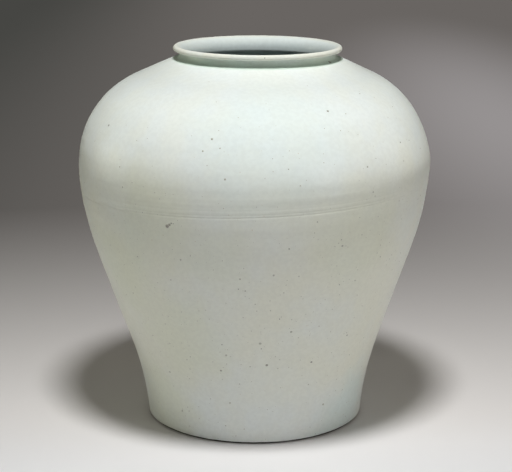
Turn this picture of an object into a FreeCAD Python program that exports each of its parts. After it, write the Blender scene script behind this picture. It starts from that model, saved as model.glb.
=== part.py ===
"""A tall white-glazed storage jar, thrown as two bowls that are luted rim to rim at the waist.

Lengths are in millimetres. +Z is up, and the origin is the centre of the foot's resting face.
Every piece is turned about the Z axis from a half section drawn in the XZ plane. The outside is
smooth. The inside, the neck and the lip follow their curves in short straight passes of the rib.
The sizes are those of the fired jar, and its outline and walls take in the thin coat of glaze.
"""

import FreeCAD
import Part

import math
import os

# Heights, stacked from the ground to the crest of the lip
belly_height = 275.0  # ground to the widest point
shoulder_rise = 111.0  # widest point to the crease where the neck springs
neck_rise = 8.6  # crease to the underside of the rolled lip
lip_thickness = 5.4  # underside of the lip to its crest

# Outline, as radii
foot_radius = 116.0
foot_spread = 0.8  # how far the foot ring widens up to the wall
belly_radius = 186.5
neck_radius = 82.0  # narrowest, just under the lip
neck_flare = 7.8  # how far the neck spreads down to the crease

# Walls, measured level across the clay
wall_at_foot = 14.0
wall_at_waist = 9.4
wall_at_crease = 8.0  # this one is measured upright, because the shoulder lies nearly flat there
neck_wall = 7.4

# Base
recess_depth = 7.5  # the foot ring stands this far below the floor
floor_thickness = 10.5
foot_face_width = 11.0
foot_chamfer = 1.6
recess_draft = 3.0  # how far the foot ring's inner face leans in
cove_height = 20.0
cove_reach = 17.0  # how far the cove runs in over the floor, to the slab that closes the base

# Waist joint, a ridge on the upper rim bedded with slip in a groove of the lower rim
waist_drop = 13.0  # the joint lies this far under the widest point
slip_thickness = 1.4
groove_depth = 3.0
seam_spread = 5.0  # half the height of the slip squeezed out inside
seam_swell = 2.4  # how far it stands into the jar

# Neck
throat_edge = 3.0  # rounding where the throat opens under the shoulder
spigot_width = 5.0  # the part of the collar that fills the shoulder's opening
throat_straight = 1.2  # between that rounding and the flare of the mouth

# Rolled lip
lip_overhang = 6.7  # how far the lip stands out beyond the neck
crest_setback = 3.5  # how far the crest lies inside the lip's widest point
lip_tuck = 2.5  # rounding on the underside of the roll
lip_nose_share = 0.45  # height of the widest point in the lip's thickness

# How far a straight pass of the rib may lie from its curve
inside_pass = 0.90
neck_pass = 0.20

# Shares of the way up, and of the way out, from the foot ring to the belly. The first three points and
# the last three each lie on an arc, and the straight flank joins them.
flank_shares = [(0, 0), (0.135, 0.084), (0.271, 0.230), (0.725, 0.826), (0.860, 0.955), (1, 1)]
# The same from the belly up to the crease: an arc through three points, then a straight stretch
shoulder_shares = [(0, 0), (0.514, 0.175), (0.862, 0.644), (1, 1)]

# Worked out from the sizes above
waist_height = belly_height - waist_drop
crease_height = belly_height + shoulder_rise
crease_radius = neck_radius + neck_flare
lip_underside = crease_height + neck_rise
crest_height = lip_underside + lip_thickness
lip_radius = neck_radius + lip_overhang
throat_radius = neck_radius - neck_wall
spigot_radius = throat_radius + spigot_width
floor_height = recess_depth + floor_thickness
recess_radius = foot_radius - foot_chamfer - foot_face_width - foot_chamfer
recess_top_radius = recess_radius - recess_draft


def at(radius, height):
    """A point of the half section."""
    return FreeCAD.Vector(radius, 0, height)


def mix(first, last, share):
    """What lies a share of the way from the first to the last."""
    return first + (last - first) * share


def path(*points):
    """Straight lines from each point to the next."""
    return [Part.LineSegment(start, end) for start, end in zip(points, points[1:])]


def turned(curves):
    """The solid turned about the jar's axis from the curves round a half section."""
    edges = [curve.toShape() for curve in curves]
    section = Part.Face(Part.Wire(Part.__sortEdges__(edges)))
    return section.revolve(FreeCAD.Vector(0, 0, 0), FreeCAD.Vector(0, 0, 1), 360)


def ribbed(arc, pass_error):
    """Straight passes round an arc."""
    count = math.ceil((arc.LastParameter - arc.FirstParameter) / 2 / math.acos(1 - pass_error / arc.Radius))
    return path(*[arc.value(mix(arc.FirstParameter, arc.LastParameter, n / count)) for n in range(count + 1)])


def quarter_round(start, corner, end, pass_error):
    """Straight passes round a quarter of an ellipse whose tangents at both ends meet in the corner."""
    reach = max((corner - start).Length, (corner - end).Length)
    count = math.ceil(math.pi / 4 / math.acos(1 - pass_error / reach))
    turns = [math.pi / 2 * n / count for n in range(count + 1)]
    centre = start + end - corner
    return path(*[centre + (end - centre) * math.sin(t) + (start - centre) * math.cos(t) for t in turns])


def wall_side(foot, belly, crease):
    """One side of the wall: flare, flank and belly, then the shoulder's round and its slope."""
    flank = [at(mix(foot.x, belly.x, out), mix(foot.z, belly.z, up)) for up, out in flank_shares]
    shoulder = [at(mix(belly.x, crease.x, out), mix(belly.z, crease.z, up)) for up, out in shoulder_shares]
    flare = Part.ArcOfCircle(*flank[:3])
    flank_bend = Part.ArcOfCircle(*flank[3:])
    shoulder_bend = Part.ArcOfCircle(*shoulder[:3])
    return [flare] + path(*flank[2:4]) + [flank_bend, shoulder_bend] + path(*shoulder[2:])


def part_of(curve, low_height, high_height):
    """The part between two heights of a curve that rises from its start to its end."""
    parameters = []
    for height in (low_height, high_height):
        low = curve.FirstParameter
        high = curve.LastParameter
        while high - low > 1e-12 * curve.LastParameter:
            middle = (low + high) / 2
            if curve.value(middle).z < height:
                low = middle
            else:
                high = middle
        parameters.append(high)
    start, end = [curve.value(parameter) for parameter in parameters]
    if isinstance(curve, Part.LineSegment):
        return Part.LineSegment(start, end)
    return Part.ArcOfCircle(start, curve.value(sum(parameters) / 2), end)


def stretch(side, low_height, high_height):
    """The part of a chain of rising curves between two heights."""
    part = []
    for curve in side:
        low = max(low_height, curve.StartPoint.z)
        high = min(high_height, curve.EndPoint.z)
        if low < high:
            part.append(part_of(curve, low, high))
    return part


def point_at(side, height):
    """Where a chain of rising curves that starts under a height passes it."""
    return stretch(side, side[0].StartPoint.z, height)[-1].EndPoint


# Both sides of the wall, which the pieces share
crease = at(crease_radius, crease_height)
inner_crease = at(crease_radius, crease_height - wall_at_crease)
ring_top = at(foot_radius + foot_spread, recess_depth)
ring_side = path(at(foot_radius, 0), ring_top)
outside = ring_side + wall_side(ring_top, at(belly_radius, belly_height), crease)
inside_foot = ring_top - at(wall_at_foot, 0)
inside_belly = at(belly_radius - wall_at_waist, belly_height)
flare, flank, flank_bend, shoulder_bend, slope = wall_side(inside_foot, inside_belly, inner_crease)
inside = ribbed(flare, inside_pass) + [flank] + ribbed(flank_bend, inside_pass)
inside += ribbed(shoulder_bend, inside_pass) + [slope]

# The round between the wall and the floor
cove_top = point_at(inside, floor_height + cove_height)
cove_slope = cove_top - point_at(inside, floor_height)
cove_corner = cove_top - cove_slope * (cove_height / cove_slope.z)
floor_edge = cove_corner - at(cove_reach, 0)
slab_bottom = floor_edge - at(0, floor_thickness)
recess_edge = at(recess_top_radius, recess_depth)

# The rims at the waist, each level but for the groove or ridge along its middle, from the outside in
lower_rim_height = waist_height - slip_thickness / 2
upper_rim_height = waist_height + slip_thickness / 2


def rim(height):
    outer = point_at(outside, height)
    inner = point_at(inside, height)
    return path(outer, at((outer.x + inner.x) / 2, height - groove_depth), inner)


# The shoulder's inner side runs on, at its own slope, into the round edge of the throat
slope_run = slope.EndPoint - slope.StartPoint


def under_shoulder(radius):
    return inner_crease + slope_run * ((radius - inner_crease.x) / slope_run.x)


spigot_bottom = under_shoulder(spigot_radius)
spigot_top = at(spigot_radius, crease_height)
edge_corner = under_shoulder(throat_radius)
edge_end = edge_corner + at(0, throat_edge)

# The inside of the mouth, from the straight throat up to the crest
throat_top = edge_end + at(0, throat_straight)
crest = at(lip_radius - crest_setback, crest_height)
mouth_flare = quarter_round(throat_top, at(throat_radius, crest_height), crest, neck_pass)
seam_inside = point_at(mouth_flare, lip_underside)


def base_disc():
    """The slab inside the wall, which is the floor above and the ceiling of the recess below."""
    floor_centre = at(0, floor_height)
    recess_centre = at(0, recess_depth)
    return turned(path(recess_centre, slab_bottom, floor_edge, floor_centre, recess_centre))


def foot_ring():
    """The turned foot, with a flat bare face between two small chamfers."""
    chamfer_top = point_at(outside, foot_chamfer)
    face_outer = at(foot_radius - foot_chamfer, 0)
    face_inner = face_outer - at(foot_face_width, 0)
    inner_chamfer_top = at(recess_radius, foot_chamfer)
    bottom = path(chamfer_top, face_outer, face_inner, inner_chamfer_top, recess_edge)
    top = path(recess_edge, ring_top)
    return turned(stretch(outside, foot_chamfer, recess_depth) + bottom + top)


def lower_wall():
    """The lower bowl from the foot ring to its grooved rim, with the cove that runs over the floor."""
    outer_side = stretch(outside, recess_depth, lower_rim_height)
    inner_side = stretch(inside, cove_top.z, lower_rim_height)
    cove = quarter_round(cove_top, cove_corner, floor_edge, inside_pass)
    seat = path(floor_edge, slab_bottom, ring_top)
    return turned(outer_side + rim(lower_rim_height) + inner_side + cove + seat)


def waist_slip():
    """The bed of slip between the rims, with the bead that was squeezed out and smoothed inside."""
    bead_bottom = point_at(inside, waist_height - seam_spread)
    bead_top = point_at(inside, waist_height + seam_spread)
    bead_crown = point_at(inside, waist_height) - at(seam_swell, 0)
    return turned(
        stretch(outside, lower_rim_height, upper_rim_height)
        + rim(upper_rim_height)
        + stretch(inside, upper_rim_height, bead_top.z)
        + path(bead_top, bead_crown, bead_bottom)
        + stretch(inside, bead_bottom.z, lower_rim_height)
        + rim(lower_rim_height)
    )


def upper_wall():
    """The upper bowl, set mouth down on the lower one, from its ridged rim to the seat of the neck."""
    outer_side = stretch(outside, upper_rim_height, crease_height)
    inner_side = stretch(inside, upper_rim_height, inner_crease.z)
    seat = path(crease, spigot_top, spigot_bottom, inner_crease)
    return turned(outer_side + seat + inner_side + rim(upper_rim_height))


def neck_collar():
    """The short hollow-sided neck, seated on the shoulder with a spigot that fills the opening."""
    neck_top = at(neck_radius, lip_underside)
    hollow = quarter_round(neck_top, at(neck_radius, crease_height), crease, neck_pass)
    edge_start = under_shoulder(throat_radius + throat_edge)
    edge = quarter_round(edge_start, edge_corner, edge_end, neck_pass)
    flare = stretch(mouth_flare, throat_top.z, lip_underside)
    foot = path(crease, spigot_top, spigot_bottom, edge_start)
    return turned(hollow + foot + edge + path(edge_end, throat_top) + flare + path(seam_inside, neck_top))


def rolled_lip():
    """The rim rolled outward, round at its nose and tucked under, with the mouth's flare inside."""
    nose = at(lip_radius, mix(lip_underside, crest_height, lip_nose_share))
    tuck = at(lip_radius - lip_tuck, lip_underside)
    under_nose = quarter_round(tuck, at(lip_radius, lip_underside), nose, neck_pass)
    over_nose = quarter_round(nose, at(lip_radius, crest_height), crest, neck_pass)
    mouth = stretch(mouth_flare, lip_underside, crest_height)
    return turned(path(seam_inside, tuck) + under_nose + over_nose + mouth)


os.makedirs("parts", exist_ok=True)
for piece in (base_disc, foot_ring, lower_wall, waist_slip, upper_wall, neck_collar, rolled_lip):
    shape = piece()
    shape.exportStep("parts/" + piece.__name__ + ".step")
    print(piece.__name__, "valid", shape.isValid(), "volume", round(shape.Volume / 1000, 2), "cm3")
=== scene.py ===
# The looks of a tall white porcelain storage jar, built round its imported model.
# Lengths in the dictionaries are millimetres and angles are degrees. Blender gets metres.
import math

import bpy
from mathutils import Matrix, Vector


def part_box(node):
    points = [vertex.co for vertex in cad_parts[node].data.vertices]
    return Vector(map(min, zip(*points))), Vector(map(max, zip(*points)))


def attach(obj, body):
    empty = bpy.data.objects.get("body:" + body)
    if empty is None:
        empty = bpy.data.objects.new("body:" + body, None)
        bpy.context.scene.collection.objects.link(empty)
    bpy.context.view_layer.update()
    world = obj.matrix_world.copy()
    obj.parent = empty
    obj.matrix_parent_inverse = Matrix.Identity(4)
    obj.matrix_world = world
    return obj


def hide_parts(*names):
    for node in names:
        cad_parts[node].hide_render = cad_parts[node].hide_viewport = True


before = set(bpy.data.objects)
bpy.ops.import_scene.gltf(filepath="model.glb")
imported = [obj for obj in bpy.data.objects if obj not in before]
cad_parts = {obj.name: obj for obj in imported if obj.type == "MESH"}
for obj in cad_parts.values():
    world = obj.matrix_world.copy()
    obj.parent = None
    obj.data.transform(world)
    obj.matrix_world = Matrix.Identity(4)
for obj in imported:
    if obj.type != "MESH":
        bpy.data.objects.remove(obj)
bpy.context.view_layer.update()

metre = 1000  # in millimetres
noiseSpan = (0.3, 0.7)  # nearly all of a noise's values lie between these
noiseMiddle = 0.5

# short names for the nodes that come up most, with the setting that each stands for
nodeKinds = {name: ("ShaderNodeMath", {"operation": name.upper()}) for name in (
    "add", "subtract", "multiply", "divide", "modulo", "floor", "power", "sine", "cosine", "maximum")}
nodeKinds["ease"] = ("ShaderNodeMapRange", {"interpolation_type": "SMOOTHSTEP"})
nodeKinds["blend"] = ("ShaderNodeMix", {"data_type": "RGBA"})


def mm(value):
    return value / metre


def linear(code):
    # an sRGB hex colour as the linear one that shaders and lamps take
    shares = [int(code[i:i + 2], 16) / 255 for i in (1, 3, 5)]
    return [s / 12.92 if s <= 0.04045 else ((s + 0.055) / 1.055) ** 2.4 for s in shares]


def opaque(code):
    return [*linear(code), 1]


def addNode(tree, kind, wires=(), **settings):
    # wires: a list for the inputs in their order, or a dictionary by their names. Each takes an
    # output, a node, for its first output, or a value. Sockets that the settings hide don't count.
    kind, preset = nodeKinds.get(kind, (kind, {}))
    node = tree.nodes.new(kind)
    for name, value in {**preset, **settings}.items():
        setattr(node, name, value)
    shown = [socket for socket in node.inputs if socket.enabled]
    if isinstance(wires, dict):
        pairs = [(next(s for s in shown if s.name == name), value) for name, value in wires.items()]
    else:
        pairs = list(zip(shown, wires))
    for socket, value in pairs:
        if isinstance(value, bpy.types.Node):
            value = next(output for output in value.outputs if output.enabled)
        if isinstance(value, bpy.types.NodeSocket):
            tree.links.new(value, socket)
        else:
            socket.default_value = value
    return node


def newTree(name, inputs):
    # a Geometry Nodes tree with these named inputs, and its input node's outputs
    tree = bpy.data.node_groups.new(name, "GeometryNodeTree")
    for label, kind, value in inputs:
        socket = tree.interface.new_socket(label, in_out="INPUT", socket_type="NodeSocket" + kind)
        if value is not None:
            socket.default_value = value
    tree.interface.new_socket("Piece", in_out="OUTPUT", socket_type="NodeSocketGeometry")
    return tree, addNode(tree, "NodeGroupInput").outputs


def newMaterial(name):
    material = bpy.data.materials.new(name)
    material.use_nodes = True
    material.node_tree.nodes.clear()
    return material, material.node_tree


def addObject(name, data):
    item = bpy.data.objects.new(name, data)
    bpy.context.scene.collection.objects.link(item)
    return item


def grow(piece, tree, values):
    # runs the tree on the piece, and keeps the result as its plain mesh
    modifier = piece.modifiers.new(tree.name, "NODES")
    modifier.node_group = tree
    for item in tree.interface.items_tree:
        if item.in_out == "INPUT" and item.name in values:
            modifier[item.identifier] = values[item.name]
    bpy.context.view_layer.update()
    depsgraph = bpy.context.evaluated_depsgraph_get()
    mesh = bpy.data.meshes.new_from_object(
        piece.evaluated_get(depsgraph), preserve_all_data_layers=True, depsgraph=depsgraph)
    piece.modifiers.clear()
    piece.data = mesh
    print(piece.name, "has", len(mesh.polygons), "faces")


viewpoint = {
    "place": (2.16, -1636.4, 599.5),
    "pitch": 76.088,  # 90 looks level
    "lens": 109.53,
}
camera = addObject("camera", bpy.data.cameras.new("camera"))
camera.data.lens = viewpoint["lens"]
camera.location = [mm(v) for v in viewpoint["place"]]
camera.rotation_euler = (math.radians(viewpoint["pitch"]), 0, 0)
bpy.context.scene.camera = camera
print("camera in place")


# The outline from the foot up: leans are from upright, outward, and sweeps are radii of bends.
outline = {
    "footRadius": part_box("foot_ring")[1].x * metre - 0.4,  # just inside the solid's edge
    "footLean": 5.14,
    "footRun": 3.1,
    "footSweep": 353.8,
    "flankLean": 18.85,
    "flankSweep": 322.65,
    "bellyLean": 4.73,
    "bellySweep": 80.0,
    "bellyRadius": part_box("upper_wall")[1].x * metre + 0.2,  # just outside the solid's
    "shoulderSweep": 107.7,
    "shoulderLean": -40.0,
    "topSweep": 92.9,
    "topLean": -65.85,
    "creaseRadius": 89.7,  # where the neck rises from the shoulder
}


def walk(spot, lean, moves, pace=0.5):
    # follows runs, (length,), and bends, (radius, new lean), from a spot (radius, height).
    # A lean of 0 goes straight up, 90 outward and -90 inward. A bend has three points or more.
    r, z = spot
    spots = [(r, z, lean)]
    for move in moves:
        start = math.radians(lean)
        if len(move) == 1:
            count = max(1, round(move[0] / pace))
            for i in range(1, count + 1):
                run = move[0] * i / count
                spots.append((r + run * math.sin(start), z + run * math.cos(start), lean))
        else:
            bend, aim = move
            turn = math.radians(aim - lean)
            count = max(3, round(abs(turn) * bend / pace))
            side = math.copysign(bend, turn)
            for i in range(1, count + 1):
                now = start + turn * i / count
                spots.append((r - side * (math.cos(now) - math.cos(start)),
                              z + side * (math.sin(now) - math.sin(start)), math.degrees(now)))
            lean = aim
        r, z = spots[-1][:2]
    return spots


def outsidePath():
    # the flank's and the shoulder's straight runs take up what the bends leave over
    o = outline
    cosine = {k: math.cos(math.radians(v)) for k, v in o.items() if k.endswith("Lean")}
    sine = {k: math.sin(math.radians(v)) for k, v in o.items() if k.endswith("Lean")}
    spread = (o["footSweep"] * (cosine["footLean"] - cosine["flankLean"])
              + o["flankSweep"] * (cosine["bellyLean"] - cosine["flankLean"])
              + o["bellySweep"] * (1 - cosine["bellyLean"])
              + o["footRun"] * sine["footLean"])
    flank = (o["bellyRadius"] - o["footRadius"] - spread) / sine["flankLean"]
    fall = (o["shoulderSweep"] * (1 - cosine["shoulderLean"])
            + o["topSweep"] * (cosine["shoulderLean"] - cosine["topLean"]))
    top = (o["bellyRadius"] - o["creaseRadius"] - fall) / -sine["topLean"]
    return walk((o["footRadius"], 0), o["footLean"], [
        (o["footRun"],), (o["footSweep"], o["flankLean"]), (flank,),
        (o["flankSweep"], o["bellyLean"]), (o["bellySweep"], 0),
        (o["shoulderSweep"], o["shoulderLean"]), (o["topSweep"], o["topLean"]), (top,)])


# The neck and the lip from the crease on, in the order in which the section meets them: shelf,
# underside and throat are runs, and the rest that aren't leans are radii of bends.
neck = {
    "shelf": 1.2,
    "flare": 7.1,
    "tuck": 0.9,
    "underside": 4.9,
    "undersideLean": 82,
    "nose": 2.2,
    "roll": 3.2,
    "innerRoll": 3.5,
    "innerRollLean": -110,
    "mouthSweep": 13.2,
    "mouthLean": -178,
    "throat": 1.9,
    "throatEdge": 3.0,
    "pace": 0.35,  # from point to point
}

body = {
    "sides": 224,
    "weld": 0.01,  # points closer than this become one
    "wallAtCrease": 8.0,
    "wallAtFoot": 14.0,
    "glazeLine": 1.9,  # the height at which the coat ends on the foot
    "cove": 20.0,  # the bend between wall and floor, inside
    "covePace": 2.0,
    "floorTop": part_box("base_disc")[1].z * metre,
    "recessTop": 7.5,  # the underside of the floor
    "recessRadius": 99.5,
    "recessBend": 4.0,
    "recessRim": 1.0,
    "recessPace": 0.8,
    # radius and height of the coat's edge over the foot's bare ring
    "ringBed": [(102.6, 2.6), (104.5, 4.5), (113.0, 4.5), (114.4, 2.4)],
    # heights from and to, least radius, and how far apart the section's points lie there
    "closeStretches": [(250, 284, 170, 0.45), (384, 420, 0, 0.9), (-1, 6, 0, 0.8)],
    "plainGap": 3.0,
    "ringDepth": 0.5,  # the rings that throwing left
    "ringRate": (3.0, 3.0, 130.0),  # waves in a metre, across and up
    "ringsFade": (388, 370),
    "glazeWander": 1.6,  # how far the coat's edge wanders up and down the foot
    "wanderRate": 30.0,
    "seamSlope": 0.032,  # rise over run
    "slopeBelow": (205, 252),  # the slope comes in here on the way up
    "slopeAbove": (300, 256),  # and here on the way down
    "neckTilt": 0.25,
    "tiltFrom": (335, 392),
    # how far the turning axis strays to the right at each height
    "stray": [(0, 0.7), (45, 0.5), (150, -0.5), (195, -0.5), (235, 0.65), (282, 0.6), (320, 0),
              (345, 0.4), (393, 3.9)],
    # height, swell and half width of what luting the two bowls leaves at the waist
    "seamMarks": [(285.5, 0.14, 4.5), (264.6, -0.10, 0.8), (260.0, -0.17, 0.7), (257.5, -0.30, 0.8)],
    # the same for the slow swells of the wall
    "wallMarks": [(176, 0.3, 40), (363, -0.4, 14)],
}


def thinned(spots):
    # keeps the close spacing only at the waist lines, the neck, the lip and the foot
    kept = [spots[0]]
    for r, z, lean in spots[1:-1]:
        gap = next((near for low, high, least, near in body["closeStretches"]
                    if low < z < high and r > least), body["plainGap"])
        if math.dist((r, z), kept[-1][:2]) >= gap:
            kept.append((r, z, lean))
    return kept + [spots[-1]]


def jarSection():
    # half the section, from the glaze's end on the foot, over the lip, and back under the floor
    b, n = body, neck
    outside = outsidePath()
    crease = outside[-1][:2]
    lip = walk(crease, -90, [
        (n["shelf"],), (n["flare"], 0), (n["tuck"], n["undersideLean"]), (n["underside"],),
        (n["nose"], 0), (n["roll"], -90), (n["innerRoll"], n["innerRollLean"]),
        (n["mouthSweep"], n["mouthLean"]), (n["throat"],),
        (n["throatEdge"], -180 + outline["topLean"])], n["pace"])
    crest = max(range(len(lip)), key=lambda i: lip[i][1])

    # the inside follows the outside a wall's thickness away, from the throat down to the cove
    wall = []
    for r, z, lean in reversed(outside):
        thick = b["wallAtFoot"] + (b["wallAtCrease"] - b["wallAtFoot"]) * z / crease[1]
        slant = math.radians(lean)
        wall.append((r - thick * math.cos(slant), z + thick * math.sin(slant), lean - 180))
    coveTop = b["floorTop"] + b["cove"] * (1 - math.sin(math.radians(outline["flankLean"] / 2)))
    throat = lip[-1]
    wall = [spot for spot in wall if coveTop <= spot[1] <= throat[1] and spot[0] > throat[0]]
    cove = walk(wall[-1][:2], wall[-1][2], [(b["cove"], -90)], b["covePace"])

    skin = []
    for r, z, lean in outside:
        swell = sum(rise * math.exp(-((z - at) / wide) ** 2)
                    for at, rise, wide in b["seamMarks"] + b["wallMarks"])
        slant = math.radians(lean)
        if z >= b["glazeLine"]:
            skin.append((r + swell * math.cos(slant), z - swell * math.sin(slant), lean))
    recess = walk((b["recessRadius"], b["recessTop"]), 90,
                  [(b["recessBend"], 180), (b["recessRim"],)], b["recessPace"])

    front = thinned(skin) + thinned(lip[:crest + 1])[1:]
    hollow = thinned(lip[crest:])[1:] + thinned(wall) + thinned(cove)[1:] + [(0, cove[-1][1], 0)]
    bottom = [(0, b["recessTop"], 0)] + thinned(recess) + [(r, z, 0) for r, z in b["ringBed"]]
    return front, hollow, bottom + [skin[0]]


def ramp(value, low, high):
    # 0 to 1 as the value goes from low to high, even where high is the smaller
    return max(0.0, min(1.0, (value - low) / (high - low)))


def strayAt(z):
    # eased from each stop to the next
    stops = body["stray"]
    for (low, before), (high, after) in zip(stops, stops[1:]):
        if z < high:
            share = ramp(z, low, high)
            return mm(before + (after - before) * share * share * (3 - 2 * share))
    return mm(stops[-1][1])


# Where the coat changes, and where shade is painted on it. Each pair goes from none to all, in depth
# under the lip's crest.
coat = {
    "thinOutside": (6.1, 5.0),
    "thinInside": (2.2, 0.8),
    # glaze pooled in the neck's hollow, greener, and darker towards the crease as painted shade
    "poolAndShadeTop": (5.4, 6.0),
    "poolAndShadeFoot": (14.6, 13.7),
    "poolAndShadeDeepens": (6, 12),
    "poolAndShadeLeast": 0.35,
    # painted shade inside the jar: least at the lip's crest, whole from 11 mm under it downwards
    "shadeInside": (0, 11),
    "shadeLeast": 0.25,
    "waverHeights": (9, 1),  # above the ground, on the outside of the foot
    "waverRadii": (113.5, 115),  # from the axis, under the foot
}


def coatMarks(front, hollow, bottom):
    # thin over the lip, pooled in the neck's hollow with painted shade in its crease, painted shade
    # inside, and wavering at the foot
    c = coat
    crest = front[-1][1]
    marks = {"thin": [], "pool": [], "inside": [], "waver": [], "stray": []}

    def markPoint(**shares):
        for mark, values in marks.items():
            values.append(shares.get(mark, 0.0))

    for r, z, lean in front:
        drop = crest - z
        deep = c["poolAndShadeLeast"] + (1 - c["poolAndShadeLeast"]) * ramp(drop, *c["poolAndShadeDeepens"])
        pool = ramp(drop, *c["poolAndShadeFoot"]) * deep * ramp(drop, *c["poolAndShadeTop"])
        markPoint(thin=ramp(drop, *c["thinOutside"]), pool=pool, waver=ramp(z, *c["waverHeights"]),
                  stray=strayAt(z))
    for r, z, lean in hollow:
        drop = crest - z
        # painted shade inside, darker from the crest down
        shade = c["shadeLeast"] + (1 - c["shadeLeast"]) * ramp(drop, *c["shadeInside"])
        markPoint(thin=ramp(drop, *c["thinInside"]), inside=shade, stray=strayAt(z))
    for r, z, lean in bottom:
        markPoint(waver=ramp(r, *c["waverRadii"]), stray=strayAt(z))
    return marks


def sectionObject(name, spots, marks):
    # the half section as a chain of edges in the XZ plane, for the wheel to turn
    mesh = bpy.data.meshes.new(name)
    edges = [(i, i + 1) for i in range(len(spots) - 1)]
    mesh.from_pydata([(mm(r), 0, mm(z)) for r, z, lean in spots], edges, [])
    for mark, values in marks.items():
        mesh.attributes.new(mark, "FLOAT", "POINT").data.foreach_set("value", values)
    return addObject(name, mesh)


def turningTree():
    # turns the section about Z, then adds what throwing, luting and firing leave on the jar
    tree, given = newTree("turnOnWheel", [
        ("Section", "Geometry", None), ("Sides", "Int", 64), ("Ring Depth", "Float", 0.0),
        ("Glaze Wander", "Float", 0.0), ("Seam Slope", "Float", 0.0), ("Neck Slope", "Float", 0.0),
        ("Glaze", "Material", None)])

    # a grid with a column for each side and a row for each point of the section
    count = addNode(tree, "GeometryNodeAttributeDomainSize", {"Geometry": given["Section"]})
    columns = addNode(tree, "add", [given["Sides"], 1.0])
    grid = addNode(tree, "GeometryNodeMeshGrid", {"Vertices X": columns, "Vertices Y": count})
    index = addNode(tree, "GeometryNodeInputIndex")
    row = addNode(tree, "modulo", [index, count])
    column = addNode(tree, "floor", [addNode(tree, "divide", [index, count])])
    angle = addNode(tree, "divide", [column, given["Sides"]])
    angle = addNode(tree, "multiply", [angle, math.tau])
    spot = addNode(tree, "GeometryNodeSampleIndex", {
        "Geometry": given["Section"], "Value": addNode(tree, "GeometryNodeInputPosition"),
        "Index": row}, data_type="FLOAT_VECTOR")
    spot = addNode(tree, "ShaderNodeSeparateXYZ", [spot]).outputs
    across = addNode(tree, "multiply", [addNode(tree, "cosine", [angle]), spot["X"]])
    back = addNode(tree, "multiply", [addNode(tree, "sine", [angle]), spot["X"]])
    turned = addNode(tree, "ShaderNodeCombineXYZ", [across, back, spot["Z"]])
    mesh = addNode(tree, "GeometryNodeSetPosition", {"Geometry": grid, "Position": turned})
    for mark in ("thin", "pool", "inside", "waver", "stray"):
        value = addNode(tree, "GeometryNodeInputNamedAttribute", {"Name": mark})
        value = addNode(tree, "GeometryNodeSampleIndex", {
            "Geometry": given["Section"], "Value": value, "Index": row})
        mesh = addNode(tree, "GeometryNodeStoreNamedAttribute", {
            "Geometry": mesh, "Name": mark, "Value": value})

    # the last column meets the first, the poles close, and edges left without a face go
    mesh = addNode(tree, "GeometryNodeMergeByDistance", {
        "Geometry": mesh, "Distance": mm(body["weld"])})
    faces = addNode(tree, "GeometryNodeInputMeshEdgeNeighbors")
    loose = addNode(tree, "FunctionNodeCompare", [faces, 0.5], operation="LESS_THAN")
    mesh = addNode(tree, "GeometryNodeDeleteGeometry", {
        "Geometry": mesh, "Selection": loose}, domain="EDGE", mode="EDGE_FACE")

    # throwing rings: long round the jar and a few millimetres high, gone at the neck
    place = addNode(tree, "GeometryNodeInputPosition")
    height = addNode(tree, "ShaderNodeSeparateXYZ", [place]).outputs
    rings = addNode(tree, "ShaderNodeVectorMath", [place, body["ringRate"]], operation="MULTIPLY")
    rings = addNode(tree, "ShaderNodeTexNoise", {"Vector": rings, "Scale": 1.0, "Detail": 1.5})
    rings = addNode(tree, "subtract", [rings, noiseMiddle])
    rings = addNode(tree, "multiply", [rings, given["Ring Depth"]])
    fade = addNode(tree, "ease", [height["Z"], *map(mm, body["ringsFade"])])
    rings = addNode(tree, "multiply", [rings, fade])
    outward = addNode(tree, "GeometryNodeInputNormal")
    rings = addNode(tree, "ShaderNodeVectorMath", [outward, rings], operation="SCALE")
    mesh = addNode(tree, "GeometryNodeSetPosition", {"Geometry": mesh, "Offset": rings})

    # the seam runs downhill to the left, and the neck leans
    tip = addNode(tree, "multiply", [
        addNode(tree, "ease", [height["Z"], *map(mm, body["slopeBelow"])]),
        addNode(tree, "ease", [height["Z"], *map(mm, body["slopeAbove"])])])
    tip = addNode(tree, "multiply", [tip, given["Seam Slope"]])
    lean = addNode(tree, "ease", [height["Z"], *map(mm, body["tiltFrom"])])
    lean = addNode(tree, "multiply", [lean, given["Neck Slope"]])
    tip = addNode(tree, "subtract", [tip, lean])

    # the glaze's edge wanders up and down the foot, and the axis strays
    wander = addNode(tree, "ShaderNodeTexNoise", {
        "Vector": place, "Scale": body["wanderRate"], "Detail": 2.0})
    wander = addNode(tree, "subtract", [wander, noiseMiddle])
    wander = addNode(tree, "multiply", [wander, given["Glaze Wander"]])
    waver = addNode(tree, "GeometryNodeInputNamedAttribute", {"Name": "waver"})
    wander = addNode(tree, "multiply", [wander, waver])
    rise = addNode(tree, "ShaderNodeMath", [tip, height["X"], wander], operation="MULTIPLY_ADD")
    stray = addNode(tree, "GeometryNodeInputNamedAttribute", {"Name": "stray"})
    push = addNode(tree, "ShaderNodeCombineXYZ", {"X": stray, "Z": rise})
    mesh = addNode(tree, "GeometryNodeSetPosition", {"Geometry": mesh, "Offset": push})
    mesh = addNode(tree, "GeometryNodeSetShadeSmooth", {"Geometry": mesh})
    mesh = addNode(tree, "GeometryNodeRealizeInstances", {"Geometry": mesh})
    mesh = addNode(tree, "GeometryNodeSetMaterial", {"Geometry": mesh, "Material": given["Glaze"]})
    addNode(tree, "NodeGroupOutput", [mesh])
    return tree


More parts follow.
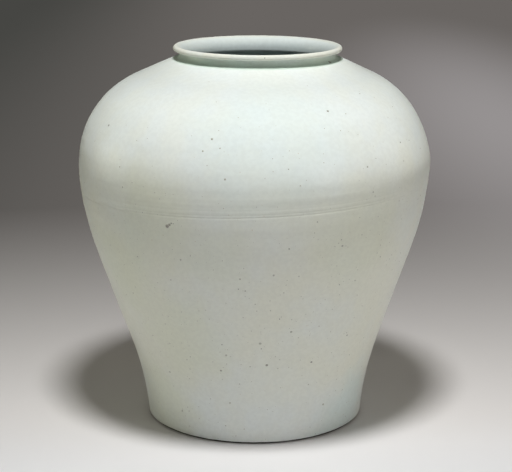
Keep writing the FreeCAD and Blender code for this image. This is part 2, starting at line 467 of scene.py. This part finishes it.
glazeLook = {
    "white": "#EEF5F2",
    "olive": "#F1F2E0",
    "cream": "#F2F4E8",
    # pooled glaze in the neck, greener, and a little darker as painted shade
    "pool": "#D5E6DA",
    # the colour of the painted shade inside the jar
    "inside": "#CCD8D7",
    "stain": "#B79F7C",
    "blue": "#DDF0EE",
    "moss": "#EAEFD9",
    # painted light and shade by height: how much of the white is left at each height, whitest on the
    # shoulder, greyer on the lower body and just under the neck
    "shade": [(0, 0.93), (35, 0.875), (90, 0.85), (180, 0.88), (245, 0.90), (262, 0.935),
              (282, 0.905), (300, 1.0), (325, 0.99), (345, 0.955), (372, 0.825), (390, 0.89)],
    "shadeTop": 400,
    # olive clouds: heights between which they come and go, and their least and greatest share
    "oliveFoot": (20, 90),
    "oliveShoulder": (320, 265),
    "oliveClouds": (0.3, 0.8),
    "olivePatches": (0.0, 0.25),
    # where the tint gathers: angle round the jar, height, radius on the wall, reach, tint and share
    "gathered": [
        (-124, 250, 186, 70, "moss", 0.5), (-102, 212, 177, 45, "moss", 0.4),
        (-118, 117, 145, 65, "moss", 0.45), (-55, 232, 180, 75, "moss", 0.45),
        (-142, 37, 121, 60, "moss", 0.55), (-144, 191, 170, 70, "moss", 0.6),
        (-35, 25, 119, 60, "blue", 0.5), (-85, 325, 180, 110, "blue", 0.3)],
    "gatheredCore": 0.3,  # the share of the reach that is whole
    "gatheredWander": 60.0,  # how far the tint's edge wanders
    "gatheredWave": 40.0,  # from one such wave to the next
    # width of each pattern's patches, its detail, and its rate upwards, where less than 1 draws
    # the patches out
    "patterns": {
        "clouds": (70.0, 3.0, 0.7),
        "patches": (28.0, 2.0, 1.0),
        "thinning": (30.0, 2.0, 1.0),
        "mottle": (4.0, 2.0, 1.0),
        "sheen": (35.0, 3.0, 1.0),
        "swell": (70.0, 1.0, 1.0),
        "peel": (2.2, 1.0, 1.0),  # ripples that a thick glaze sets with
    },
    # the lip's thin coat is uneven: from and to on its pattern, and what it leaves there
    "thinSpan": (0.35, 0.6),
    "thinShare": (0.45, 1.0),
    "mottleShare": (0.975, 1.02),
    "roughness": 0.33,
    "sheenRange": (-0.04, 0.05),  # how much smoother and rougher it gets
    "peelDepth": 0.012,
    "swellDepth": 0.12,
    "pinhole": 0.35,  # radius, drawn larger than the real 0.2 so that it shows
    "pinholeGap": 11.0,
    "pinholeEdge": (2.4, 0.6),  # in radii, from bare of stain to its full strength
    "pinholeCells": (0.55, 0.9),  # a cell's tone, from none to its darkest pinhole
    "pinholeShare": 0.55,
}


def glazeMaterial():
    # clear feldspathic glaze, dipped and reduction fired, over white porcelain: a soft wet gloss
    # over faintly blue-green white, olive where iron shows, creamy where it ran thin on the lip
    look = glazeLook
    material, tree = newMaterial("clearGlazeOverPorcelain")
    place = addNode(tree, "ShaderNodeTexCoord").outputs["Object"]
    height = addNode(tree, "ShaderNodeSeparateXYZ", [place]).outputs["Z"]
    pattern = {}
    for name, (size, detail, upward) in look["patterns"].items():
        spot = addNode(tree, "ShaderNodeMapping", {
            "Vector": place, "Scale": (1, 1, upward)}, vector_type="POINT")
        pattern[name] = addNode(tree, "ShaderNodeTexNoise", {
            "Vector": spot, "Scale": metre / size, "Detail": detail})

    # iron shows most round the belly, between the bluer shoulder and foot
    girdle = addNode(tree, "multiply", [
        addNode(tree, "ease", [height, *map(mm, look["oliveFoot"])]),
        addNode(tree, "ease", [height, *map(mm, look["oliveShoulder"])])])
    clouds = addNode(tree, "ease", [pattern["clouds"], *noiseSpan, *look["oliveClouds"]])
    clouds = addNode(tree, "multiply", [clouds, girdle])
    colour = addNode(tree, "blend", [clouds, opaque(look["white"]), opaque(look["olive"])])
    patches = addNode(tree, "ease", [pattern["patches"], *noiseSpan, *look["olivePatches"]])
    colour = addNode(tree, "blend", [patches, colour, opaque(look["olive"])])

    # the gathered tints, each round its own place on the wall and with a wandering edge
    wander = mm(look["gatheredWander"])
    wavy = addNode(tree, "ShaderNodeTexNoise", {
        "Vector": place, "Scale": metre / look["gatheredWave"], "Detail": 3.0}).outputs["Color"]
    wavy = addNode(tree, "ShaderNodeVectorMath", [wavy, (wander, wander, wander), place],
                   operation="MULTIPLY_ADD")
    for turn, rise, radius, reach, tint, most in look["gathered"]:
        turn = math.radians(turn)
        centre = (mm(radius * math.cos(turn)), mm(radius * math.sin(turn)), mm(rise))
        centre = [length + wander * noiseMiddle for length in centre]
        gap = addNode(tree, "ShaderNodeVectorMath", [wavy, centre], operation="DISTANCE")
        share = addNode(tree, "ease", [gap, mm(reach), mm(reach * look["gatheredCore"]), 0.0, most])
        colour = addNode(tree, "blend", [share, colour, opaque(look[tint])])

    thin = addNode(tree, "ShaderNodeAttribute", attribute_name="thin").outputs["Fac"]
    uneven = addNode(tree, "ease", [pattern["thinning"], *look["thinSpan"], *look["thinShare"]])
    thin = addNode(tree, "multiply", [thin, uneven])
    colour = addNode(tree, "blend", [thin, colour, opaque(look["cream"])])
    # the pooled glaze with painted shade in the neck's crease, and the painted shade inside
    for mark in ("pool", "inside"):
        share = addNode(tree, "ShaderNodeAttribute", attribute_name=mark).outputs["Fac"]
        colour = addNode(tree, "blend", [share, colour, opaque(look[mark])])

    # pinholes with a trace of iron round them, in some of the cells only
    cells = addNode(tree, "ShaderNodeTexVoronoi", {
        "Vector": place, "Scale": metre / look["pinholeGap"]},
        feature="F1", distance="EUCLIDEAN").outputs
    edge = [radii * look["pinhole"] / look["pinholeGap"] for radii in look["pinholeEdge"]]
    hole = addNode(tree, "ease", [cells["Distance"], *edge])
    tone = addNode(tree, "ShaderNodeSeparateColor", [cells["Color"]])
    tone = addNode(tree, "ease", [tone, *look["pinholeCells"], 0.0, look["pinholeShare"]])
    hole = addNode(tree, "multiply", [hole, tone])
    colour = addNode(tree, "blend", [hole, colour, opaque(look["stain"])])

    # painted light and shade change slowly with height, and the tone changes a little from spot to spot
    rise = addNode(tree, "ShaderNodeMapRange", {"Value": height, "From Max": mm(look["shadeTop"])})
    shade = addNode(tree, "ShaderNodeValToRGB", [rise])
    stops = shade.color_ramp.elements
    for i, (at, share) in enumerate(look["shade"]):
        # a new ramp has two stops already
        stop = stops[i] if i < 2 else stops.new(at / look["shadeTop"])
        stop.position, stop.color = at / look["shadeTop"], (share, share, share, 1)
    mottle = addNode(tree, "ease", [pattern["mottle"], *noiseSpan, *look["mottleShare"]])
    mottle = addNode(tree, "multiply", [mottle, shade])
    colour = addNode(tree, "ShaderNodeVectorMath", [colour, mottle], operation="SCALE")

    rough = [look["roughness"] + change for change in look["sheenRange"]]
    rough = addNode(tree, "ease", [pattern["sheen"], *noiseSpan, *rough])
    slow = addNode(tree, "ShaderNodeBump", {
        "Height": pattern["swell"], "Distance": mm(look["swellDepth"])})
    fine = addNode(tree, "ShaderNodeBump", {
        "Height": pattern["peel"], "Distance": mm(look["peelDepth"]), "Normal": slow})
    shader = addNode(tree, "ShaderNodeBsdfPrincipled", {
        "Base Color": colour, "Roughness": rough, "IOR": 1.5, "Normal": fine})
    addNode(tree, "ShaderNodeOutputMaterial", {"Surface": shader})
    return material


clayLook = {
    "clay": "#B4A48E",
    "burnAndShade": "#1C120C",
    "burnAndShadeTop": 0.4,  # the height from which the clay is burnt and painted near black as shade at the foot's edge
    "grit": "#7C6A55",
    "gritSpan": (0.5, 0.75),
    "grain": 0.9,
    "grainDepth": 0.05,
    "roughness": 0.85,
}


def clayMaterial():
    # porcelain clay fired bare on sand: dry, matt and warm, burnt brown where the glaze ends, and
    # painted near black there as the contact shadow at the foot
    look = clayLook
    material, tree = newMaterial("bareFiredPorcelain")
    place = addNode(tree, "ShaderNodeTexCoord").outputs["Object"]
    height = addNode(tree, "ShaderNodeSeparateXYZ", [place]).outputs["Z"]
    grain = addNode(tree, "ShaderNodeTexNoise", {
        "Vector": place, "Scale": metre / look["grain"], "Detail": 3.0})
    gritty = addNode(tree, "ShaderNodeMapRange", [grain, *look["gritSpan"]])
    colour = addNode(tree, "blend", [gritty, opaque(look["clay"]), opaque(look["grit"])])
    # burnt clay, darkened to near black as painted shadow where the foot meets the ground
    burnAndShade = addNode(tree, "ShaderNodeMapRange", [height, 0.0, mm(look["burnAndShadeTop"])])
    colour = addNode(tree, "blend", [burnAndShade, colour, opaque(look["burnAndShade"])])
    bump = addNode(tree, "ShaderNodeBump", {"Height": grain, "Distance": mm(look["grainDepth"])})
    shader = addNode(tree, "ShaderNodeBsdfPrincipled", {
        "Base Color": colour, "Roughness": look["roughness"], "Normal": bump})
    addNode(tree, "ShaderNodeOutputMaterial", {"Surface": shader})
    return material


wheel = turningTree()
front, hollow, bottom = jarSection()
jar = sectionObject("glazedJar", front + hollow + bottom, coatMarks(front, hollow, bottom))
grow(jar, wheel, {
    "Sides": body["sides"], "Ring Depth": mm(body["ringDepth"]),
    "Glaze Wander": mm(body["glazeWander"]), "Seam Slope": body["seamSlope"],
    "Neck Slope": math.tan(math.radians(body["neckTilt"])), "Glaze": glazeMaterial()})
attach(jar, "root")
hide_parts("base_disc", "lower_wall", "waist_slip", "upper_wall", "neck_collar", "rolled_lip")


restingRing = {
    "inner": 103.4,
    "outer": 114.4,
    # the way round the ring's section: out from the outer or the inner radius, and height
    "outerEdge": [(0, 0), (0.6, 0.35), (1.0, 1.0), (1.0, 5.0), (-3.0, 8.0)],
    "innerEdge": [(2.0, 8.0), (-0.6, 5.0), (-0.7, 1.5), (-0.4, 0.4), (0, 0)],
}


def ringSection():
    ring = restingRing
    spots = [(ring["inner"], 0, 0)]
    spots += [(ring["outer"] + out, z, 0) for out, z in ring["outerEdge"]]
    return spots + [(ring["inner"] + out, z, 0) for out, z in ring["innerEdge"]]


ringSpots = ringSection()
foot = sectionObject("footRing", ringSpots, {"stray": [strayAt(z) for r, z, lean in ringSpots]})
grow(foot, wheel, {"Sides": body["sides"], "Glaze": clayMaterial()})
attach(foot, "root")
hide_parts("foot_ring")


speckle = {
    # the plainest iron specks, listed one by one: angle round the jar, where -90 faces the viewer,
    # height, width and darkness
    "counted": [
        # on the shoulder and the belly
        (-148.5, 331, 2.6, 0.6), (-62, 353, 2.8, 0.25), (-35, 316, 1.8, 0.35), (-106, 320, 2.1, 0.05),
        (-103.5, 331, 2.6, 0.05), (-98.5, 295, 2.4, 0.08), (-53, 300, 2, 0.05), (-134, 277, 2.4, 0.05),
        # on the flank
        (-61, 223, 2.7, 0.05), (-79, 225, 1.8, 0.35), (-114, 210, 2.4, 0.05), (-83.5, 197, 2.5, 0.05),
        (-94.5, 193, 2.1, 0.15), (-52.5, 181, 2.1, 0.05), (-84, 157, 1.3, 0.35), (-80.5, 147, 1.3, 0.7),
        (-75.5, 131, 2.7, 0.12), (-87.5, 119, 3.2, 0.05), (-48.5, 116, 2, 0.4), (-101.5, 104, 2.7, 0.05),
        # near the foot
        (-84.5, 93, 3.2, 0.3), (-64.5, 92, 2.4, 0.55), (-104.5, 85, 2.7, 0.3), (-132.5, 72, 2.4, 0.13),
        (-64, 65, 1.8, 0.14), (-101.5, 47, 2.1, 0.05), (-53.5, 37, 2.7, 0.05), (-129, 28, 2.2, 0.16),
        # the stain on the neck, the smudge below the seam, and the dark grain on the lip
        (-27, 388, 5.5, 0.4), (-117.3, 244.4, 4.4, 0.42), (-116.5, 246.2, 3.2, 0.38),
        (-115.8, 248, 2.2, 0.3), (-83, 398.6, 1.1, 0.9)],
    "rayReach": 250,  # outside the jar, from where a ray finds the glaze
    "perSquareMetre": 5800,
    "top": 380,
    "bottom": 4,
    "leastOutward": 20,  # a face's radius times how far it looks outward, from 0 to 1
    # heights between which they thin out, and the share that is left past the second
    "shoulderThins": (215, 330),
    "shoulderShare": 0.22,
    "footThins": (100, 20),
    "footShare": 0.6,
    "smallest": 0.7,
    "largest": 1.7,
    "smallBias": 2.5,  # the higher, the fewer large ones
    "darkest": 0.8,  # the darkest one's share, before the bias below
    "faintBias": 3.0,  # the higher, the fewer dark ones
    "stretch": (0.7, 1.3),  # length over width
    "proud": 0.07,  # height over width
    "beadSides": 8,
    "beadRings": 3,
    "seed": 7,
    "faint": "#BEBFB2",
    "dark": "#3A2B20",
    "grainShare": (0.85, 1.2),  # how light and how dark the grain in a speck makes it
}


def speckMaterial():
    # iron that boiled up through the glaze: brown to black, as glossy as the coat round it
    look = speckle
    material, tree = newMaterial("ironSpeckInGlaze")
    tone = addNode(tree, "ShaderNodeAttribute", attribute_name="tone").outputs["Fac"]
    place = addNode(tree, "ShaderNodeTexCoord").outputs["Object"]
    grain = addNode(tree, "ShaderNodeTexNoise", {
        "Vector": place, "Scale": metre / look["smallest"], "Detail": 2.0})
    grain = addNode(tree, "ShaderNodeMapRange", [grain, *noiseSpan, *look["grainShare"]])
    tone = addNode(tree, "multiply", [tone, grain])
    colour = addNode(tree, "blend", [tone, opaque(look["faint"]), opaque(look["dark"])])
    shader = addNode(tree, "ShaderNodeBsdfPrincipled", {
        "Base Color": colour, "Roughness": glazeLook["roughness"], "IOR": 1.5})
    addNode(tree, "ShaderNodeOutputMaterial", {"Surface": shader})
    return material


def speckTree():
    # drops flat beads on the outside of the jar: the counted ones by a ray, the rest at random
    look = speckle
    tree, given = newTree("specksOnGlaze", [
        ("Counted", "Geometry", None), ("Jar", "Object", None),
        ("Per Square Metre", "Float", 100.0), ("Smallest", "Float", 0.0005),
        ("Largest", "Float", 0.001), ("Proud", "Float", 0.1), ("Seed", "Int", 0),
        ("Iron", "Material", None)])
    drawn = {}
    for number, (name, low, high) in enumerate([
            ("width", 0.0, 1.0), ("tone", 0.0, look["darkest"]), ("stretch", *look["stretch"])], 1):
        seed = addNode(tree, "add", [given["Seed"], float(number)])
        drawn[name] = addNode(tree, "FunctionNodeRandomValue", {
            "Min": low, "Max": high, "Seed": seed}, data_type="FLOAT")

    jarShape = addNode(tree, "GeometryNodeObjectInfo", {"Object": given["Jar"]}).outputs["Geometry"]
    place = addNode(tree, "GeometryNodeInputPosition")
    inward = addNode(tree, "ShaderNodeVectorMath", [place, (-1, -1, 0)], operation="MULTIPLY")
    hit = addNode(tree, "GeometryNodeRaycast", {
        "Target Geometry": jarShape, "Ray Direction": inward, "Ray Length": 1.0}).outputs
    counted = addNode(tree, "GeometryNodeMeshToPoints", {"Mesh": given["Counted"]})
    counted = addNode(tree, "GeometryNodeStoreNamedAttribute", {
        "Geometry": counted, "Name": "facing", "Value": hit["Hit Normal"]}, data_type="FLOAT_VECTOR")
    counted = addNode(tree, "GeometryNodeSetPosition", {
        "Geometry": counted, "Position": hit["Hit Position"]})

    # most on the lower half, fewer at the foot, none inside, under the foot or on the neck
    height = addNode(tree, "ShaderNodeSeparateXYZ", [place]).outputs["Z"]
    facing = addNode(tree, "GeometryNodeInputNormal")
    density = addNode(tree, "ShaderNodeVectorMath", [inward, facing], operation="DOT_PRODUCT")
    density = addNode(tree, "ShaderNodeMath", [density, -mm(look["leastOutward"])],
                      operation="LESS_THAN")
    below = addNode(tree, "ShaderNodeMath", [height, mm(look["top"])], operation="LESS_THAN")
    above = addNode(tree, "ShaderNodeMath", [height, mm(look["bottom"])], operation="GREATER_THAN")
    shoulder = addNode(tree, "ShaderNodeMapRange", [
        height, *map(mm, look["shoulderThins"]), 1.0, look["shoulderShare"]])
    foot = addNode(tree, "ShaderNodeMapRange", [
        height, *map(mm, look["footThins"]), 1.0, look["footShare"]])
    for share in (below, above, shoulder, foot, given["Per Square Metre"]):
        density = addNode(tree, "multiply", [density, share])
    strewn = addNode(tree, "GeometryNodeDistributePointsOnFaces", {
        "Mesh": jarShape, "Density": density, "Seed": given["Seed"]})
    normal = strewn.outputs["Normal"]
    width = addNode(tree, "power", [drawn["width"], look["smallBias"]])
    width = addNode(tree, "ShaderNodeMapRange", {
        "Value": width, "To Min": given["Smallest"], "To Max": given["Largest"]})
    tone = addNode(tree, "power", [drawn["tone"], look["faintBias"]])
    for name, value, kind in (
            ("facing", normal, "FLOAT_VECTOR"), ("width", width, "FLOAT"), ("tone", tone, "FLOAT")):
        strewn = addNode(tree, "GeometryNodeStoreNamedAttribute", {
            "Geometry": strewn, "Name": name, "Value": value}, data_type=kind)

    beads = addNode(tree, "GeometryNodeJoinGeometry", [counted])
    tree.links.new(strewn.outputs[0], beads.inputs[0])
    bead = addNode(tree, "GeometryNodeMeshUVSphere", {
        "Segments": look["beadSides"], "Rings": look["beadRings"], "Radius": 0.5})
    facing = addNode(tree, "GeometryNodeInputNamedAttribute", {"Name": "facing"},
                     data_type="FLOAT_VECTOR")
    turn = addNode(tree, "FunctionNodeAlignRotationToVector", {"Vector": facing})
    width = addNode(tree, "GeometryNodeInputNamedAttribute", {"Name": "width"})
    length = addNode(tree, "multiply", [width, drawn["stretch"]])
    thick = addNode(tree, "multiply", [width, given["Proud"]])
    beads = addNode(tree, "GeometryNodeInstanceOnPoints", {
        "Points": beads, "Instance": bead, "Rotation": turn,
        "Scale": addNode(tree, "ShaderNodeCombineXYZ", [length, width, thick])})
    beads = addNode(tree, "GeometryNodeRealizeInstances", {"Geometry": beads})
    beads = addNode(tree, "GeometryNodeSetShadeSmooth", {"Geometry": beads})
    beads = addNode(tree, "GeometryNodeSetMaterial", {"Geometry": beads, "Material": given["Iron"]})
    addNode(tree, "NodeGroupOutput", [beads])
    return tree


def countedSpecks(name):
    # the counted specks as points round the jar, each with its width and its tone
    reach = mm(speckle["rayReach"])
    spots = [(reach * math.cos(math.radians(turn)), reach * math.sin(math.radians(turn)), mm(rise))
             for turn, rise, width, tone in speckle["counted"]]
    mesh = bpy.data.meshes.new(name)
    mesh.from_pydata(spots, [], [])
    widths = [mm(width) for turn, rise, width, tone in speckle["counted"]]
    tones = [tone for turn, rise, width, tone in speckle["counted"]]
    for mark, values in (("width", widths), ("tone", tones)):
        mesh.attributes.new(mark, "FLOAT", "POINT").data.foreach_set("value", values)
    return addObject(name, mesh)


iron = countedSpecks("ironSpecks")
grow(iron, speckTree(), {
    "Jar": jar, "Per Square Metre": float(speckle["perSquareMetre"]),
    "Smallest": mm(speckle["smallest"]), "Largest": mm(speckle["largest"]),
    "Proud": speckle["proud"], "Seed": speckle["seed"], "Iron": speckMaterial()})
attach(iron, "root")


ground = {
    "radius": 9000,
    "sides": 96,
    "pale": "#ECECEE",
    "paleShadeWarmth": "#EEEBEA",  # beside and behind the jar, a painted warm tint for the shade there
    "warmFrom": -220,
    "warmTo": 0,
    "paintGrain": 6.0,
    "paintDepth": 0.02,
    # the pale part: its centre, how far it is whole and gone, and how wide it is for its depth
    "paleCentre": (193, -625, 0),
    "paleNear": 511,
    "paleReach": 1658,
    "paleWidth": 1.43,
    # the air behind, a glowing painted backdrop: painted shade from the dark left to the middle, with a
    # painted glow on the right
    "dark": "#464643",
    "middle": "#696562",
    "darkEnd": -915,
    "middleEnd": -20,
    "glow": "#969292",
    "glowCentre": (565, 1821, 0),
    "glowWidth": 544,
    "glowDepth": 2584,
    # far past the photograph's edge the floor turns into the air, so that no horizon shows
    "air": "#565451",
    "airNear": 4900,
    "airReach": 8600,
}


def floorMaterial():
    # matt paint on a board: pale near the jar, and further off, for the camera and the glaze, a glowing
    # grey with painted light and shade
    look = ground
    material, tree = newMaterial("paintedStudioFloor")
    place = addNode(tree, "ShaderNodeTexCoord").outputs["Object"]
    spot = addNode(tree, "ShaderNodeSeparateXYZ", [place]).outputs

    def away(centre, wide, deep):
        # how far from the centre, as a share of an ellipse this wide and deep
        gap = addNode(tree, "ShaderNodeVectorMath", [place, [mm(v) for v in centre]],
                      operation="SUBTRACT")
        gap = addNode(tree, "ShaderNodeVectorMath", [gap, (mm(wide), mm(deep), 1.0)],
                      operation="DIVIDE")
        return addNode(tree, "ShaderNodeVectorMath", [gap], operation="LENGTH")

    paint = addNode(tree, "ShaderNodeTexNoise", {
        "Vector": place, "Scale": metre / look["paintGrain"], "Detail": 2.0})
    bump = addNode(tree, "ShaderNodeBump", {"Height": paint, "Distance": mm(look["paintDepth"])})
    # warmer beside and behind the jar: a painted warm tint for the shade round it
    warm = addNode(tree, "ease", [spot["Y"], mm(look["warmFrom"]), mm(look["warmTo"])])
    pale = addNode(tree, "blend", [warm, opaque(look["pale"]), opaque(look["paleShadeWarmth"])])
    near = addNode(tree, "ShaderNodeBsdfDiffuse", {"Color": pale, "Normal": bump})

    lift = addNode(tree, "ease", [spot["X"], mm(look["darkEnd"]), mm(look["middleEnd"])])
    behind = addNode(tree, "blend", [lift, opaque(look["dark"]), opaque(look["middle"])])
    dim = away(look["glowCentre"], look["glowWidth"], look["glowDepth"])
    dim = addNode(tree, "ease", [dim, 0.0, 1.0])
    behind = addNode(tree, "blend", [dim, opaque(look["glow"]), behind])
    edge = away((0, 0, 0), metre, metre)
    edge = addNode(tree, "ease", [edge, mm(look["airNear"]), mm(look["airReach"])])
    behind = addNode(tree, "blend", [edge, behind, opaque(look["air"])])
    # the backdrop glows, with painted light and shade
    paintedBackdropGlow = addNode(tree, "ShaderNodeEmission", {"Color": behind, "Strength": 1.0})

    # away from the jar the lit pale floor gives way to the glowing backdrop: a painted falloff of light
    gone = away(look["paleCentre"], look["paleWidth"] * metre, metre)
    gone = addNode(tree, "ShaderNodeMapRange", [gone, mm(look["paleNear"]), mm(look["paleReach"])])
    rays = addNode(tree, "ShaderNodeLightPath").outputs
    seen = addNode(tree, "maximum", [rays["Is Camera Ray"], rays["Is Glossy Ray"]])
    gone = addNode(tree, "multiply", [seen, gone])
    both = addNode(tree, "ShaderNodeMixShader", [gone, near, paintedBackdropGlow])
    addNode(tree, "ShaderNodeOutputMaterial", {"Surface": both})
    return material


bpy.ops.mesh.primitive_circle_add(
    vertices=ground["sides"], radius=mm(ground["radius"]), fill_type="NGON")
floor = bpy.context.object
floor.name = "studioFloor"
floor.data.materials.append(floorMaterial())

studio = {
    "aim": (0, 0, 200),
    # place, width and depth, watts, colour, and whether the lamp's own image shows in the glaze
    "lamps": {
        "keyBox": ((20, -514, 1690), (320, 285), 22.5, "#FFFFFE", False),
        "sideLeft": ((-1800, 300, 480), (900, 900), 3.8, "#FFFFE2", True),
        "sideRight": ((1800, 300, 700), (900, 900), 2.1, "#FFF4C8", True),
        "rimLeft": ((-1700, 1400, 220), (900, 900), 3.1, "#FFF1EC", False),
        "rimRight": ((1700, 1400, 220), (900, 900), 6.4, "#F8FAFF", False),
        "frontRight": ((1500, -1500, 700), (900, 900), 4.2, "#FFFAFC", True),
        "frontLow": ((0, -2400, 500), (1000, 1000), 2.9, "#FFF4F2", True),
    },
    "airLight": "#FFF8EE",
    "airStrength": 0.01,
}
for name, (place, size, watts, tint, mirrored) in studio["lamps"].items():
    lamp = bpy.data.lights.new(name, "AREA")
    lamp.shape = "ELLIPSE"
    lamp.size, lamp.size_y = mm(size[0]), mm(size[1])
    lamp.energy = watts
    lamp.color = linear(tint)
    holder = addObject(name, lamp)
    holder.location = [mm(v) for v in place]
    holder.rotation_euler = (Vector(place) - Vector(studio["aim"])).to_track_quat("Z", "Y").to_euler()
    holder.visible_glossy = mirrored

# the air lights the jar faintly, and the camera and the glaze see it as the floor's far grey
world = bpy.data.worlds.new("studioAir")
world.use_nodes = True
sky = world.node_tree
lit = sky.nodes["Background"]
lit.inputs["Color"].default_value = opaque(studio["airLight"])
lit.inputs["Strength"].default_value = studio["airStrength"]
plain = addNode(sky, "ShaderNodeBackground", {"Color": opaque(ground["air"]), "Strength": 1.0})
rays = addNode(sky, "ShaderNodeLightPath").outputs
seen = addNode(sky, "maximum", [rays["Is Camera Ray"], rays["Is Glossy Ray"]])
mixed = addNode(sky, "ShaderNodeMixShader", [seen, lit, plain])
sky.links.new(mixed.outputs[0], sky.nodes["World Output"].inputs["Surface"])
bpy.context.scene.world = world
bpy.context.scene.view_settings.view_transform = "Standard"
print("floor, lamps and air in place")
